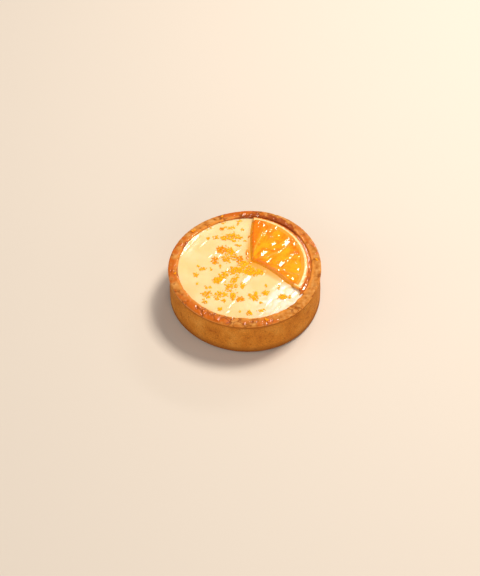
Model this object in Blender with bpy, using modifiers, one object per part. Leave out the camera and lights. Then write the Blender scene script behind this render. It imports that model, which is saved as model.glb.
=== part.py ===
"""A small citrus tart: a shortcrust case, set custard, a wedge of candied orange and flecks of zest."""

import math
import random

import bmesh
import bpy
from mathutils import Matrix, Vector, noise

MM = 0.001

# Baked case: from a ring 80 mm across and 20 mm tall. The dough stands 2 mm over the ring and is a little
# out of round.
CASE_RADIUS = 40.1 * MM
CASE_HEIGHT = 22.0 * MM
CORNER_SWELL = 0.45 * MM
WALL = 4.9 * MM
FRONT_EXTRA_WALL = 1.0 * MM
FLOOR = 4.0 * MM
FOOT_ROUND = 1.2 * MM
FOOT_SPREAD = 0.45 * MM
LIP_PROUD = 0.6 * MM
LIP_DROP = 1.7 * MM
RIM_ROUND = 0.7 * MM
RIM_CROWN = 0.1 * MM
RIM_WAVE = 0.2 * MM
RIM_CRAG = 0.4 * MM
WALL_DIMPLE = 0.12 * MM
FLOOR_ROUND = 2.0 * MM
CASE_STEPS = 90

# Custard: stands just under the rim.
FIT_GAP = 0.3 * MM
CUSTARD_DROP = 1.7 * MM
CUSTARD_SWELL = 0.14 * MM
CUSTARD_CLIMB = 0.45 * MM
CLIMB_SHARPNESS = 14
CUSTARD_RINGS = 7
CUSTARD_STEPS = 60

# Candied orange: a wedge of a slice 68 mm across, its rind along the rim and its tip by the middle.
SLICE_CENTRE = Vector((-1.0 * MM, 1.2 * MM))
SLICE_RADIUS = 33.9 * MM
SLICE_FROM = math.radians(-31.5)
SLICE_TO = math.radians(80)
SLICE_TIP = Vector((2.2 * MM, 4.4 * MM))
TIP_BLUNT = 0.035
SLICE_THICK = 2.3 * MM
SLICE_EDGE = 0.9 * MM
EDGE_ROUND = 1.7 * MM
CUT_BOW = math.radians(17)
LEFT_BOW = math.radians(3)
RIND_WIDTH = 3.6 * MM
RIND_RISE = 0.35 * MM
MEMBRANES = (math.radians(-12), math.radians(26), math.radians(60))
MEMBRANE_RISE = 0.55 * MM
MEMBRANE_WIDTH = 1.2 * MM
PULP_LUMP = 0.35 * MM
SLICE_COLUMNS = 36
SLICE_ROWS = 13

# Flecks of zest, in clumps: x and y of the clump, its spread, all in mm, and how many flecks.
FLECK_CLUMPS = (
    (-12.2, 13.8, 2.3, 7),
    (-8.0, 12.4, 2.2, 6),
    (-15.6, 6.4, 1.8, 5),
    (-9.4, 7.4, 3.0, 7),
    (-3.2, 7.0, 2.0, 5),
    (-1.2, 1.6, 2.8, 9),
    (-5.6, -1.2, 3.2, 10),
    (1.6, -2.2, 3.0, 10),
    (6.8, -2.6, 2.2, 6),
    (-10.6, -3.6, 1.8, 4),
    (-14.0, -6.6, 2.1, 6),
    (-6.2, -7.6, 1.8, 4),
    (-2.0, -11.4, 1.4, 3),
    (-8.2, -12.6, 2.4, 6),
    (-20.0, -16.2, 2.8, 6),
    (-13.4, -17.4, 3.2, 8),
    (-6.8, -18.8, 1.8, 4),
    (-2.9, -20.6, 1.7, 5),
    (-20.8, -21.6, 1.2, 2),
    (-11.6, -21.6, 1.0, 2),
    (-13.6, -27.2, 1.2, 2),
    (1.4, -30.0, 1.6, 3),
    (8.0, -28.6, 1.7, 3),
    (4.5, -19.4, 2.2, 7),
    (10.1, -17.0, 1.5, 4),
    (17.0, -13.4, 1.3, 2),
    (19.0, -19.4, 2.1, 5),
    (-6.8, 22.8, 2.3, 6),
    (-10.7, 21.8, 1.5, 4),
    (-2.6, 22.2, 1.8, 3),
    (-12.1, 28.6, 1.1, 2),
    (-7.8, 28.8, 2.0, 3),
    (-17.0, 21.8, 2.6, 3),
    (-19.4, 28.2, 1.2, 3),
    (-10.8, 32.6, 1.3, 2),
    (-22.8, 0.6, 1.5, 3),
    (-26.2, -4.2, 1.8, 3),
)
RIM_FLECKS = ((-27.6, 25.6), (10.6, -36.2), (-11.8, 36.0), (-36.6, -3.6))
FLECK_LEAST = 1.5 * MM
FLECK_MOST = 2.5 * MM
FLECK_HEIGHT = 0.5
FLECK_SUNK = 0.3
FLECK_TILT = math.radians(20)
FLECK_CLEARANCE = 0.4 * MM
FLECK_SEED = 28
GOLDEN_ANGLE = math.pi * (3 - math.sqrt(5))

CRAG_SIZE = 3.6 * MM
CUSTARD_LEVEL = CASE_HEIGHT - CUSTARD_DROP


def clear_scene():
    for obj in list(bpy.data.objects):
        bpy.data.objects.remove(obj, do_unlink=True)


def make_collection(name, helper=False):
    collection = bpy.data.collections.new(name)
    bpy.context.scene.collection.children.link(collection)
    collection.hide_render = helper
    return collection


def make_material(name, colour, roughness):
    material = bpy.data.materials.new(name)
    material.use_nodes = True
    shader = material.node_tree.nodes["Principled BSDF"]
    shader.inputs["Base Color"].default_value = (*colour, 1.0)
    shader.inputs["Roughness"].default_value = roughness
    shader.inputs["Metallic"].default_value = 0.0
    return material


def lumps(x, y, z, seed):
    """Smooth unevenness between about -1 and 1, as coarse as the crags on the rim."""
    return noise.noise(Vector((x, y, z)) / CRAG_SIZE + Vector((seed, 0, 0)))


def outline_scale(angle):
    """How much wider than its mean radius the case is at this angle: three blunt corners."""
    return 1 - CORNER_SWELL * math.cos(3 * angle) / CASE_RADIUS


def wall_at(angle):
    """Thickness of the wall's top, greatest at the front, which is at -Y."""
    return WALL + FRONT_EXTRA_WALL * (0.5 - 0.5 * math.sin(angle)) ** 2


def inner_radius(angle):
    return (CASE_RADIUS - wall_at(angle)) * outline_scale(angle)


def rim_lift(angle):
    """Slow rise and fall of the rim round the case."""
    return RIM_WAVE * (math.sin(2 * angle + 0.6) + 0.6 * math.sin(5 * angle + 2.0))


def custard_top(x, y):
    """Height of the custard's surface: low swells, and a climb where it meets the wall."""
    reach = math.hypot(x, y) / inner_radius(math.atan2(y, x))
    swell = math.sin(x / (8 * MM) + 0.7) * math.sin(y / (9 * MM) + 1.9)
    return CUSTARD_LEVEL + CUSTARD_SWELL * swell + CUSTARD_CLIMB * min(reach, 1) ** CLIMB_SHARPNESS


def arc(centre_x, centre_z, radius, start, end, steps):
    """Points on an arc from start to end, in degrees."""
    points = []
    for step in range(steps + 1):
        angle = math.radians(start + (end - start) * step / steps)
        points.append((centre_x + radius * math.cos(angle), centre_z + radius * math.sin(angle)))
    return points


def case_profile():
    """From the middle of the floor's upper face, up the inside, over the rim and down to the foot."""
    inside = CASE_RADIUS - WALL
    side = CASE_RADIUS - LIP_PROUD
    rim_corner = CASE_HEIGHT - RIM_ROUND
    lip_foot = CASE_HEIGHT - LIP_DROP
    profile = [(0.0, FLOOR), (inside / 2, FLOOR)]
    profile += arc(inside - FLOOR_ROUND, FLOOR + FLOOR_ROUND, FLOOR_ROUND, -90, 0, 2)
    profile += arc(inside + RIM_ROUND, rim_corner, RIM_ROUND, 180, 100, 2)
    profile += [(inside + WALL / 2, CASE_HEIGHT + RIM_CROWN)]
    profile += arc(CASE_RADIUS - RIM_ROUND, rim_corner, RIM_ROUND, 80, 0, 2)
    profile += [(CASE_RADIUS, lip_foot + LIP_PROUD), (side, lip_foot)]
    for share in (1 / 3, 2 / 3):
        profile.append((side + FOOT_SPREAD * share, lip_foot - (lip_foot - FOOT_ROUND) * share))
    profile += arc(side + FOOT_SPREAD - FOOT_ROUND, FOOT_ROUND, FOOT_ROUND, 0, -90, 2)
    profile += [(inside / 2, 0.0), (0.0, 0.0)]
    return profile


def custard_profile():
    """From the middle of the surface, out to the wall, down it and back along the floor."""
    outside = CASE_RADIUS - WALL - FIT_GAP
    low = FLOOR + FIT_GAP
    profile = [(outside * ring / CUSTARD_RINGS, CUSTARD_LEVEL) for ring in range(CUSTARD_RINGS + 1)]
    profile += arc(outside - FLOOR_ROUND, low + FLOOR_ROUND, FLOOR_ROUND, 0, -90, 2)
    profile += [(outside / 2, low), (0.0, low)]
    return profile


def turned(name, profile, steps, collection):
    """A solid turned about the upright axis from (radius, height) points, as a plain mesh."""
    guide_mesh = bpy.data.meshes.new(name + "_profile")
    edges = [(start, start + 1) for start in range(len(profile) - 1)]
    guide_mesh.from_pydata([(x, 0.0, z) for x, z in profile], edges, [])
    guide = bpy.data.objects.new(name + "_profile", guide_mesh)
    collection.objects.link(guide)
    screw = guide.modifiers.new("Turn", "SCREW")
    screw.steps = steps
    screw.render_steps = steps
    screw.use_merge_vertices = True
    screw.merge_threshold = 0.01 * MM
    graph = bpy.context.evaluated_depsgraph_get()
    mesh = bpy.data.meshes.new_from_object(guide.evaluated_get(graph))
    mesh.name = name
    bpy.data.objects.remove(guide, do_unlink=True)
    obj = bpy.data.objects.new(name, mesh)
    collection.objects.link(obj)
    return obj


def shape_case(mesh):
    """Pulls the turned case out of round, thickens its front wall and roughens its rim and side."""
    inside = CASE_RADIUS - WALL
    rim_zone = CASE_HEIGHT - LIP_DROP
    for vertex in mesh.vertices:
        x, y, z = vertex.co
        radius = math.hypot(x, y)
        angle = math.atan2(y, x)
        into_wall = min(1.0, max(0.0, (CASE_RADIUS - radius) / WALL))
        new_radius = radius - (wall_at(angle) - WALL) * into_wall * min(radius / inside, 1)
        new_radius *= outline_scale(angle)
        lift = rim_lift(angle) * max(0.0, 1 - (CASE_HEIGHT - z) / (2 * LIP_DROP))
        if z > rim_zone:
            lift += RIM_CRAG * lumps(x, y, z, 3.0)
            new_radius += 0.5 * RIM_CRAG * lumps(x, y, z, 9.0)
        elif radius > inside and z > FOOT_ROUND:
            new_radius += WALL_DIMPLE * lumps(x, y, z, 5.0)
        vertex.co = (new_radius * math.cos(angle), new_radius * math.sin(angle), z + lift)


def shape_custard(mesh):
    """Fits the turned custard to the case's wall and gives its surface the low swells."""
    outside = CASE_RADIUS - WALL - FIT_GAP
    for vertex in mesh.vertices:
        x, y, z = vertex.co
        angle = math.atan2(y, x)
        scale = (inner_radius(angle) - FIT_GAP) / outside
        vertex.co = (x * scale, y * scale, z)
        if z > CUSTARD_LEVEL - FIT_GAP:
            vertex.co.z = custard_top(vertex.co.x, vertex.co.y)


def make_case(collection):
    case = turned("tart_shell", case_profile(), CASE_STEPS, collection)
    shape_case(case.data)
    case.data.materials.append(make_material("baked_shortcrust", (0.45, 0.19, 0.06), 0.8))
    return case


def make_custard(collection):
    custard = turned("custard", custard_profile(), CUSTARD_STEPS, collection)
    shape_custard(custard.data)
    custard.data.materials.append(make_material("set_custard", (0.93, 0.76, 0.38), 0.3))
    return custard


def slice_arc_point(angle):
    return SLICE_CENTRE + SLICE_RADIUS * Vector((math.cos(angle), math.sin(angle)))


def slice_point(across, along):
    """A point of the wedge: across runs from the lower cut side to the left one, along from tip to rind."""
    start = SLICE_FROM + CUT_BOW * (1 - along) ** 2
    stop = SLICE_TO + LEFT_BOW * 4 * along * (1 - along)
    rind = slice_arc_point(start + (stop - start) * across)
    fanned = SLICE_TIP + (rind - SLICE_TIP) * along
    chord = slice_arc_point(start).lerp(slice_arc_point(stop), across)
    squared = SLICE_TIP + (chord - SLICE_TIP) * along
    return squared.lerp(fanned, min(1, along / (4 * TIP_BLUNT)))


def outside_slice(point):
    """How far outside the wedge a point is, never more than it really is."""
    furthest = (point - SLICE_CENTRE).length - SLICE_RADIUS
    for angle, bow, side in ((SLICE_FROM, 0, -1), (SLICE_TO, LEFT_BOW, 1)):
        edge = slice_arc_point(angle) - SLICE_TIP
        along = edge.normalized()
        normal = Vector((-along.y, along.x)) * side
        share = min(1, max(0, (point - SLICE_TIP).dot(along) / edge.length))
        bulge = SLICE_RADIUS * bow * 4 * share * share * (1 - share)
        furthest = max(furthest, 0.96 * ((point - SLICE_TIP).dot(normal) - bulge))
    return furthest


def slice_relief(point, edge_distance):
    """Thickness of the wedge at a point: round edge, raised rind, raised membranes, lumpy pulp."""
    offset = point - SLICE_CENTRE
    angle = math.atan2(offset.y, offset.x)
    rounding = min(1.0, max(0.0, edge_distance / EDGE_ROUND))
    full = math.sqrt(1 - (1 - rounding) ** 2)
    thickness = SLICE_EDGE + (SLICE_THICK - SLICE_EDGE) * full
    into_rind = 1 - (SLICE_RADIUS - offset.length) / RIND_WIDTH
    if into_rind > 0:
        return thickness + RIND_RISE * full * math.sin(math.pi * into_rind)
    gap = min(abs(angle - membrane) for membrane in MEMBRANES) * offset.length
    ridge = math.exp(-((gap / MEMBRANE_WIDTH) ** 2))
    lump = PULP_LUMP * (1 - ridge) * lumps(point.x, point.y, 0, 7.0)
    return thickness + full * (MEMBRANE_RISE * ridge + lump)


def eased(share):
    """Crowds the grid's lines towards both ends, where the edges are round."""
    return share - math.sin(2 * math.pi * share) * 0.115


def make_slice(collection):
    """A grid laid out over the wedge, given thickness, with its relief on top."""
    form = bmesh.new()
    bmesh.ops.create_grid(form, x_segments=SLICE_COLUMNS, y_segments=SLICE_ROWS, size=0.5)
    distance = form.verts.layers.float.new("edge_distance")
    for vertex in form.verts:
        across = eased(vertex.co.x + 0.5)
        along = TIP_BLUNT + (1 - TIP_BLUNT) * (vertex.co.y + 0.5 + eased(vertex.co.y + 0.5)) / 2
        point = slice_point(across, along)
        reach = (slice_point(across, 1) - SLICE_TIP).length
        from_lower = (point - slice_point(0, along)).length
        from_left = (point - slice_point(1, along)).length
        vertex[distance] = min(from_lower, from_left, (along - TIP_BLUNT) * reach, (1 - along) * reach)
        vertex.co = (point.x, point.y, custard_top(point.x, point.y) + FIT_GAP)
    made = bmesh.ops.extrude_face_region(form, geom=form.faces[:])
    for item in made["geom"]:
        if isinstance(item, bmesh.types.BMVert):
            item.co.z += slice_relief(item.co.xy, item[distance])
    bmesh.ops.recalc_face_normals(form, faces=form.faces[:])
    mesh = bpy.data.meshes.new("orange_slice")
    form.to_mesh(mesh)
    form.free()
    wedge = bpy.data.objects.new("orange_slice", mesh)
    collection.objects.link(wedge)
    wedge.data.materials.append(make_material("candied_orange", (0.9, 0.32, 0.02), 0.2))
    return wedge


def add_fleck(collection, seat, size, draw):
    """One torn shred of zest: a lumpy ball drawn out one way and flattened, partly sunk in its seat."""
    form = bmesh.new()
    bmesh.ops.create_icosphere(form, subdivisions=1, radius=0.5)
    for vertex in form.verts:
        vertex.co *= draw.uniform(0.85, 1.15)
    height = size * FLECK_HEIGHT
    spin = Matrix.Rotation(draw.uniform(0, 2 * math.pi), 4, "Z")
    tilt = Matrix.Rotation(draw.uniform(-FLECK_TILT, FLECK_TILT), 4, "X")
    stretch = Matrix.Diagonal((size, size * draw.uniform(0.6, 0.95), height, 1))
    lift = Vector((0, 0, height * (0.5 - FLECK_SUNK)))
    form.transform(Matrix.Translation(Vector(seat) + lift) @ spin @ tilt @ stretch)
    mesh = bpy.data.meshes.new("fleck")
    form.to_mesh(mesh)
    form.free()
    collection.objects.link(bpy.data.objects.new("fleck", mesh))


def clump_places(draw):
    """Where each clump's flecks lie: a sunflower spiral about its middle, shaken a little."""
    for x, y, spread, count in FLECK_CLUMPS:
        turn = draw.uniform(0, 2 * math.pi)
        for index in range(count):
            reach = spread * MM * math.sqrt((index + 0.5) / count) * draw.uniform(0.85, 1.15)
            angle = turn + index * GOLDEN_ANGLE
            yield Vector((x * MM + reach * math.cos(angle), y * MM + reach * math.sin(angle)))


def lies_clear(point, reach):
    """True where a fleck touches neither the wall of the case nor the wedge of orange."""
    room = inner_radius(math.atan2(point.y, point.x)) - point.length
    return room > reach + FIT_GAP + FLECK_CLEARANCE and outside_slice(point) > reach + FLECK_CLEARANCE


def fuse(target, collection):
    """Joins every object of the collection to the target, then removes them."""
    union = target.modifiers.new("Flecks", "BOOLEAN")
    union.operation = "UNION"
    union.operand_type = "COLLECTION"
    union.collection = collection
    union.solver = "MANIFOLD"
    graph = bpy.context.evaluated_depsgraph_get()
    joined = bpy.data.meshes.new_from_object(target.evaluated_get(graph))
    target.modifiers.clear()
    target.data = joined
    for obj in list(collection.objects):
        bpy.data.objects.remove(obj, do_unlink=True)


def add_flecks(custard, case):
    """Scatters the zest over the custard and the rim and fuses it to what it lies on."""
    draw = random.Random(FLECK_SEED)
    on_custard = make_collection("flecks_on_custard", helper=True)
    for point in clump_places(draw):
        size = draw.uniform(FLECK_LEAST, FLECK_MOST)
        if lies_clear(point, 0.55 * size):
            add_fleck(on_custard, (point.x, point.y, custard_top(point.x, point.y)), size, draw)
    fuse(custard, on_custard)
    on_rim = make_collection("flecks_on_rim", helper=True)
    for x, y in RIM_FLECKS:
        angle = math.atan2(y, x)
        add_fleck(on_rim, (x * MM, y * MM, CASE_HEIGHT + rim_lift(angle)), FLECK_LEAST * 1.3, draw)
    fuse(case, on_rim)


def smooth_round_faces(obj):
    obj.data.shade_smooth()
    obj.data.set_sharp_from_angle(angle=math.radians(40))


def main():
    clear_scene()
    tart = make_collection("citrus_tart")
    case = make_case(tart)
    custard = make_custard(tart)
    wedge = make_slice(tart)
    add_flecks(custard, case)
    for obj in (case, custard, wedge):
        smooth_round_faces(obj)


main()
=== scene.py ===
import math
import random

import bmesh
import bpy
from mathutils import Matrix, Vector, noise


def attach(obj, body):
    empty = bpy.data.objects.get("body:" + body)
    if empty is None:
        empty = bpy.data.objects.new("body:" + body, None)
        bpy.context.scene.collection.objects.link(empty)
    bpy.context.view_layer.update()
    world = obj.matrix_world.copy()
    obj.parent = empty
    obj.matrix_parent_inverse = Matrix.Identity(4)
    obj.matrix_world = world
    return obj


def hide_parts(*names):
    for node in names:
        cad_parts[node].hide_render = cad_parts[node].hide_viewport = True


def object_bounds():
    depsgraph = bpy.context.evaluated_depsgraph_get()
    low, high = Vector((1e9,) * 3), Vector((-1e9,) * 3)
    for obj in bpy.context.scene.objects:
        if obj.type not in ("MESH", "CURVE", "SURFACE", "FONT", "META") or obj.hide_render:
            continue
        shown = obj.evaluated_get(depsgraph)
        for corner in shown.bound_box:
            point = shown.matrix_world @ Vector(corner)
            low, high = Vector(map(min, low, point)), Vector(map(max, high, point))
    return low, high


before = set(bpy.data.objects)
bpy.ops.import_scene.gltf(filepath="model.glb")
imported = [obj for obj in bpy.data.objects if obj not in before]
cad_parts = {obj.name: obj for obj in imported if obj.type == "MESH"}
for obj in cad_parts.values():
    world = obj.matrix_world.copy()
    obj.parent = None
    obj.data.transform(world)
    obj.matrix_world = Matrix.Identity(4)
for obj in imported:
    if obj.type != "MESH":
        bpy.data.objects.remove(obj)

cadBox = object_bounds()
mm = 0.001  # every shape below is worked out in millimetres and scaled once, when its mesh is made


# small helpers

def srgb(hexColour):
    # sRGB hex, as a colour picker gives it, to the linear values that shaders take
    parts = [int(hexColour[i:i + 2], 16) / 255 for i in (1, 3, 5)]
    return tuple(c / 12.92 if c <= 0.04045 else ((c + 0.055) / 1.055) ** 2.4 for c in parts) + (1.0,)


def smooth(low, high, value):
    share = min(1.0, max(0.0, (value - low) / (high - low)))
    return share * share * (3 - 2 * share)


def bell(value, width):
    return math.exp(-(value / width) ** 2)


def angleApart(a, b):
    return abs((a - b + 180) % 360 - 180)


def rough(point, size, octaves=3, shift=0.0):
    return noise.fractal(point / size + Vector((shift, shift, shift)), 0.9, 2.1, octaves)


def warp(point):
    # plain noise three times over: Blender's own vector noise gives other values in each run
    return Vector([noise.noise(point + Vector((shift, shift, shift))) for shift in (0.0, 17.3, 41.9)])


def addNode(tree, kind, settings=None, links=None):
    # settings name a socket by its label or number, or else a property; stops are a colour ramp's, in hex;
    # a link from a whole node takes the node's first output in use
    node = tree.nodes.new("ShaderNode" + kind)
    for key, value in (settings or {}).items():
        if key == "stops":
            ramp = node.color_ramp.elements
            while len(ramp) < len(value):
                ramp.new(0.5)
            for element, (place, colour) in zip(ramp, value):
                element.position = place
                element.color = srgb(colour)
        elif isinstance(key, int) or key in node.inputs:
            node.inputs[key].default_value = value
        else:
            setattr(node, key, value)
    for key, source in (links or {}).items():
        if isinstance(source, bpy.types.Node):
            source = next(socket for socket in source.outputs if socket.enabled)
        tree.links.new(source, node.inputs[key])
    return node


# the sockets with which a Mix node blends colours: several of its sockets share one label
mixShare, mixFrom, mixTo = 0, 6, 7


def newMaterial(name):
    material = bpy.data.materials.new(name)
    material.use_nodes = True
    material.node_tree.nodes.clear()
    return material, material.node_tree


def inMillimetres(tree):
    # object coordinates in millimetres, so that each texture's scale is one over a real size
    place = addNode(tree, "TexCoord").outputs["Object"]
    return addNode(tree, "Mapping", {"Scale": (1000, 1000, 1000)}, {"Vector": place})


def linked(name, data):
    thing = bpy.data.objects.new(name, data)
    bpy.context.scene.collection.objects.link(thing)
    return thing


def dressed(name, mesh, material, replaced=None):
    mesh.materials.append(material)
    mesh.shade_smooth()
    piece = linked(name, mesh)
    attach(piece, "root")
    if replaced:
        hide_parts(replaced)


def meshFrom(name, points, faces, masks=None):
    mesh = bpy.data.meshes.new(name)
    mesh.from_pydata([(x * mm, y * mm, z * mm) for x, y, z in points], [], faces)
    for key, values in (masks or {}).items():
        layer = mesh.attributes.new(key, "FLOAT", "POINT")
        layer.data.foreach_set("value", values)
    mesh.update()
    return mesh


def formOf(mesh):
    form = bmesh.new()
    form.from_mesh(mesh)
    return form


def sealed(form, mesh):
    # puts an edited form back into its mesh, with every face turned outward
    bmesh.ops.recalc_face_normals(form, faces=form.faces[:])
    form.to_mesh(mesh)
    form.free()
    return mesh


def gridCorners(rows, width):
    # the first corner of each square in a grid of points
    for row in range(rows - 1):
        for column in range(width - 1):
            yield row * width + column


def walk(corners, gap):
    # points along straight runs, no further apart than the gap, without the first corner
    points = []
    for start, end in zip(corners, corners[1:]):
        count = max(1, math.ceil(math.dist(start, end) / gap))
        for step in range(1, count + 1):
            share = step / count
            points.append((start[0] + (end[0] - start[0]) * share, start[1] + (end[1] - start[1]) * share))
    return points


def arc(centre, radius, start, end, steps):
    points = []
    for step in range(steps + 1):
        angle = math.radians(start + (end - start) * step / steps)
        points.append((centre[0] + radius * math.cos(angle), centre[1] + radius * math.sin(angle)))
    return points


def turnedMesh(name, profile, steps, place):
    # the profile runs from axis to axis; place(angle, radius, height, normal) gives each point and its masks
    points = []
    masks = {}
    rows = []
    for row, (radius, height) in enumerate(profile):
        before = profile[max(0, row - 1)]
        after = profile[min(len(profile) - 1, row + 1)]
        along = Vector((after[0] - before[0], after[1] - before[1])).normalized()
        normal = (-along.y, along.x)
        count = 1 if radius == 0 else steps
        rows.append(range(len(points), len(points) + count))
        for step in range(count):
            point, made = place(2 * math.pi * step / steps, radius, height, normal)
            points.append(point)
            for key, value in made.items():
                masks.setdefault(key, []).append(value)
    faces = []
    for inner, outer in zip(rows, rows[1:]):
        for step in range(steps):
            after = (step + 1) % steps
            if len(inner) == 1:
                faces.append((inner[0], outer[step], outer[after]))
            elif len(outer) == 1:
                faces.append((inner[step], outer[0], inner[after]))
            else:
                faces.append((inner[step], outer[step], outer[after], inner[after]))
    return meshFrom(name, points, faces, masks)


# forms that the pieces share

case = {
    "radius": 40.1, "height": 22.0, "cornerSwell": 0.45,
    "wall": 4.9, "frontExtraWall": 1.0, "floor": 4.0, "floorRound": 2.0,
    "footRound": 1.2, "footSpread": 0.45, "lipProud": 0.6, "lipDrop": 1.7,
    "rimRound": 0.7, "rimCrown": 0.1, "rimWave": 0.2,
}
filling = {"level": case["height"] - 1.7, "swell": 0.14, "climb": 0.45, "climbSharpness": 14}


def outlineScale(angle):
    return 1 - case["cornerSwell"] * math.cos(3 * angle) / case["radius"]


def wallAt(angle):
    return case["wall"] + case["frontExtraWall"] * (0.5 - 0.5 * math.sin(angle)) ** 2


def innerRadius(angle):
    return (case["radius"] - wallAt(angle)) * outlineScale(angle)


def rimLift(angle):
    return case["rimWave"] * (math.sin(2 * angle + 0.6) + 0.6 * math.sin(5 * angle + 2.0))


def custardTop(x, y):
    reach = min(math.hypot(x, y) / innerRadius(math.atan2(y, x)), 1)
    swell = math.sin(x / 8 + 0.7) * math.sin(y / 9 + 1.9)
    return filling["level"] + filling["swell"] * swell + filling["climb"] * reach ** filling["climbSharpness"]


wedge = {
    "centre": Vector((-1.0, 1.2)), "radius": 33.9, "from": -31.5, "to": 80.0,
    "tip": Vector((2.2, 4.4)), "tipBlunt": 0.035, "cutBow": 17.0, "leftBow": 3.0,
    "thick": 2.3, "edge": 0.05, "edgeRound": 2.6,
    # how far the rind reaches under the custard's surface, and what makes up for the sides' slant
    "under": 0.1, "slant": 0.96,
    "membranes": (-12.0, 26.0, 60.0),
}


def arcPoint(degrees):
    angle = math.radians(degrees)
    return wedge["centre"] + wedge["radius"] * Vector((math.cos(angle), math.sin(angle)))


def wedgePoint(across, along):
    # across runs from the lower cut side to the left one, along from the tip to the peel
    start = wedge["from"] + wedge["cutBow"] * (1 - along) ** 2
    stop = wedge["to"] + wedge["leftBow"] * 4 * along * (1 - along)
    fanned = wedge["tip"] + (arcPoint(start + (stop - start) * across) - wedge["tip"]) * along
    chord = arcPoint(start).lerp(arcPoint(stop), across)
    squared = wedge["tip"] + (chord - wedge["tip"]) * along
    return squared.lerp(fanned, min(1, along / (4 * wedge["tipBlunt"])))


def outsideWedge(point):
    # how far a point lies outside the wedge, below zero within it
    furthest = (point - wedge["centre"]).length - wedge["radius"]
    for degrees, bow, side in ((wedge["from"], 0.0, -1), (wedge["to"], wedge["leftBow"], 1)):
        edge = arcPoint(degrees) - wedge["tip"]
        along = edge.normalized()
        share = min(1, max(0, (point - wedge["tip"]).dot(along) / edge.length))
        bulge = wedge["radius"] * math.radians(bow) * 4 * share * share * (1 - share)
        sideways = (point - wedge["tip"]).dot(Vector((-along.y, along.x)) * side)
        furthest = max(furthest, wedge["slant"] * (sideways - bulge))
    return furthest


# the baked case

crust = {
    "steps": 540,
    "rimCrag": 0.3, "rimCragSize": 3.2, "pitDepth": 0.3, "pitSize": 2.6,
    "creviceDepth": 0.22, "pieceSize": 4.2, "pieceWarp": 0.12, "rimGrain": 0.06, "rimGrainSize": 0.7,
    "sideWave": 0.12, "sideWaveSize": 7.0, "sideGrain": 0.05, "sideGrainSize": 0.9,
    "holeDepth": 0.16, "holeSize": 3.1, "outsideInset": 0.14,
    # where syrup was brushed on the rim: degrees, half width in degrees, strength
    "glazed": ((-128, 26, 1.1), (180, 16, 0.7), (152, 14, 0.5), (92, 18, 1.0), (35, 24, 0.6), (-75, 10, 0.5)),
    # syrup that ran along the rim's inner edge, painted dark; behind the orange the dark is also painted
    # shade on the wall: degrees, half width in degrees, reach over the rim
    "soaked": ((60, 17, 2.8), (84, 10, 2.2), (152, 8, 0.9), (186, 8, 0.8)),
    # flat wet patches on the rim: x, y, half width, half length, lean
    "patchSlope": 0.3,
    "patches": (
        (-0.3, 36.9, 0.6, 1.2, 1), (3.4, 36.4, 0.5, 0.9, 1), (-5.4, 36.9, 0.4, 0.6, 1),
        (-21.6, -29.2, 0.5, 0.5, 1), (-18.4, -31.4, 0.4, 0.6, 1), (-14, -33.4, 0.5, 0.8, 1),
        (-0.9, -37.8, 0.6, 0.9, 1), (7.8, -37, 0.4, 0.7, 1), (-34.9, 10.6, 0.4, 0.9, 1),
        (-36.6, 2.2, 0.4, 0.9, 1), (-33.2, 16.2, 0.4, 0.7, 1), (37.6, 8.2, 0.4, 0.8, 1),
    ),
    # short cracks in the side: degrees, height, lean, length, depth
    "cracks": ((-38, 16.4, 0.5, 3.4, 0.28), (-87, 16.6, 0.1, 1.6, 0.16), (-62, 13.8, -0.3, 1.2, 0.1)),
}


def crustProfile():
    inside = case["radius"] - case["wall"]
    side = case["radius"] - case["lipProud"]
    foot = side + case["footSpread"]
    floor = case["floor"]
    top = case["height"]
    lipFoot = top - case["lipDrop"]
    rimRound = case["rimRound"]
    profile = [(0.0, floor)]
    profile += walk([(0.0, floor), (inside - case["floorRound"], floor)], 4.0)
    profile += arc((inside - case["floorRound"], floor + case["floorRound"]), case["floorRound"], -60, 0, 3)
    profile += walk([(inside, floor + case["floorRound"]), (inside, top - 3)], 2.0)
    profile += walk([(inside, top - 3), (inside, top - rimRound)], 0.4)
    profile += arc((inside + rimRound, top - rimRound), rimRound, 165, 100, 4)
    middle = (inside + case["wall"] / 2, top + case["rimCrown"])
    profile += walk([(inside + rimRound, top), middle, (case["radius"] - rimRound, top)], 0.3)
    profile += arc((case["radius"] - rimRound, top - rimRound), rimRound, 75, 0, 5)
    profile += walk([profile[-1], (case["radius"], lipFoot + case["lipProud"]), (side, lipFoot)], 0.25)
    profile += walk([(side, lipFoot), (foot, case["footRound"])], 0.46)
    profile += arc((foot - case["footRound"], case["footRound"]), case["footRound"], -15, -90, 5)
    profile += walk([profile[-1], (0.0, 0.0)], 1.6)
    return profile


def glazeAt(angle, point):
    degrees = math.degrees(angle)
    brushed = sum(strength * bell(angleApart(degrees, at), width) for at, width, strength in crust["glazed"])
    return smooth(0.25, 0.75, brushed + 0.45 * rough(point, 3.5, 2, 4.0))


def soakedAndShadedAt(angle, radius, point):
    degrees = math.degrees(angle)
    reach = sum(width * bell(angleApart(degrees, centre), half) for centre, half, width in crust["soaked"])
    reach *= 1 + 0.7 * rough(point, 2.6, 2, 13.0)
    return smooth(0.35, -0.35, radius - (case["radius"] - case["wall"]) - reach) * min(1.0, reach)


# the way all flat patches lean, and where they fade out, in shares of their half width and half length
leanWay = Vector((0.805, -0.593))
patchFade = (1.9, 0.8)


def patchAt(point, patches, slope):
    # how far the point lies in a flat, shining patch, and how much that patch lifts it
    most = 0.0
    lift = 0.0
    for x, y, width, length, share in patches:
        offset = point - Vector((x, y))
        downhill = offset.dot(leanWay)
        sideways = offset.dot(Vector((-leanWay.y, leanWay.x)))
        ragged = 1 + 0.35 * rough(Vector((point.x, point.y, x)), 0.9, 1)
        inside = smooth(*patchFade, abs(downhill) / width * ragged)
        inside *= smooth(*patchFade, abs(sideways) / length * ragged)
        most = max(most, inside)
        lift -= slope * share * downhill * inside
    return most, lift


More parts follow.
